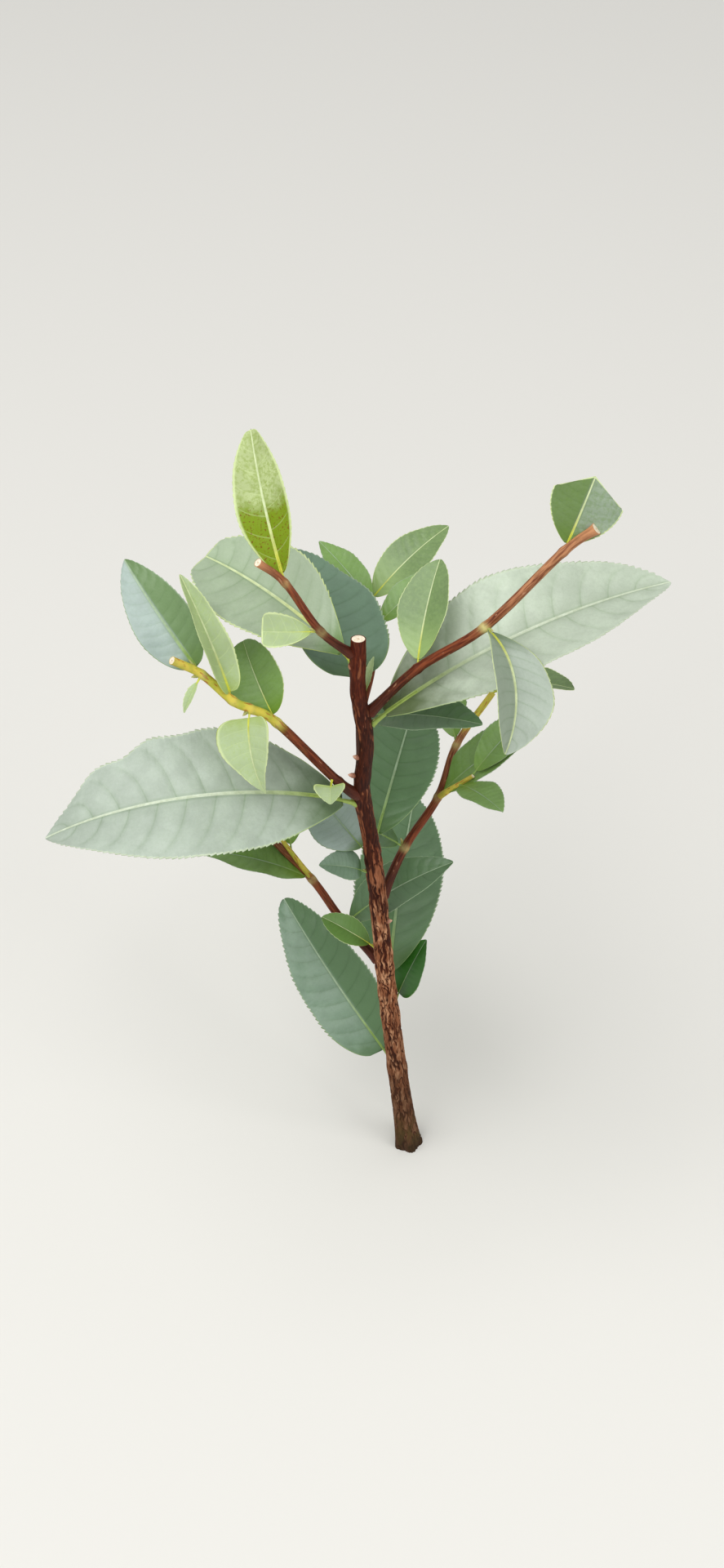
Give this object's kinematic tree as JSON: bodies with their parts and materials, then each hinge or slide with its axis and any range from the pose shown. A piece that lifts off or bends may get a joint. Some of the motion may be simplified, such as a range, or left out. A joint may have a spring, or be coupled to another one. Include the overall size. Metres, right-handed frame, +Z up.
{
  "type": "tea seedling",
  "caption": "Young tea plant rooted in the ground: a leaning woody stem with a flared foot and a level pruning cut, cut side shoots, large stem leaves and small young leaves.",
  "frame": {"origin": "centre of the flat cut under the main stem at ground level", "axes": "+Z up from the ground; +Y away from the viewer of the picture; +X to the viewer's right"},
  "size_m": [0.2159, 0.1246, 0.3495],
  "materials": {
    "bark": "rough flaking bark below, smooth red-brown above, pale cut face on top",
    "shoot_bark": "smooth satin red-brown young bark, yellow-green at one shoot's end",
    "stem_leaf": "leathery grey-green leaf with a soft waxy gloss and pale veins",
    "young_leaf": "tender yellow-green leaf with a soft gloss and pale veins"
  },
  "bodies": {
    "root": {"main_stem": "bark", "bough_right": "shoot_bark", "foliage_right": "young_leaf", "bough_lower_left": "shoot_bark", "foliage_lower_left": "young_leaf", "leaf_shoot_foot": "young_leaf", "bough_upper_left": "shoot_bark", "foliage_upper_left": "young_leaf", "bough_back_right": "shoot_bark", "foliage_back_right": "young_leaf", "bough_back_left": "shoot_bark", "foliage_back_left": "young_leaf", "bough_back_top": "shoot_bark", "foliage_back_top": "young_leaf", "leaf_low_left": "stem_leaf", "leaf_low_back": "stem_leaf", "leaf_back_one": "stem_leaf", "leaf_small_front": "stem_leaf", "leaf_mid_small": "stem_leaf", "leaf_mid_left": "stem_leaf", "leaf_back_two": "stem_leaf", "leaf_large_left": "stem_leaf", "leaf_large_right": "stem_leaf", "leaf_right_axil": "stem_leaf", "leaf_upper_back": "stem_leaf", "leaf_upper_left": "stem_leaf"}
  },
  "joints": []
}
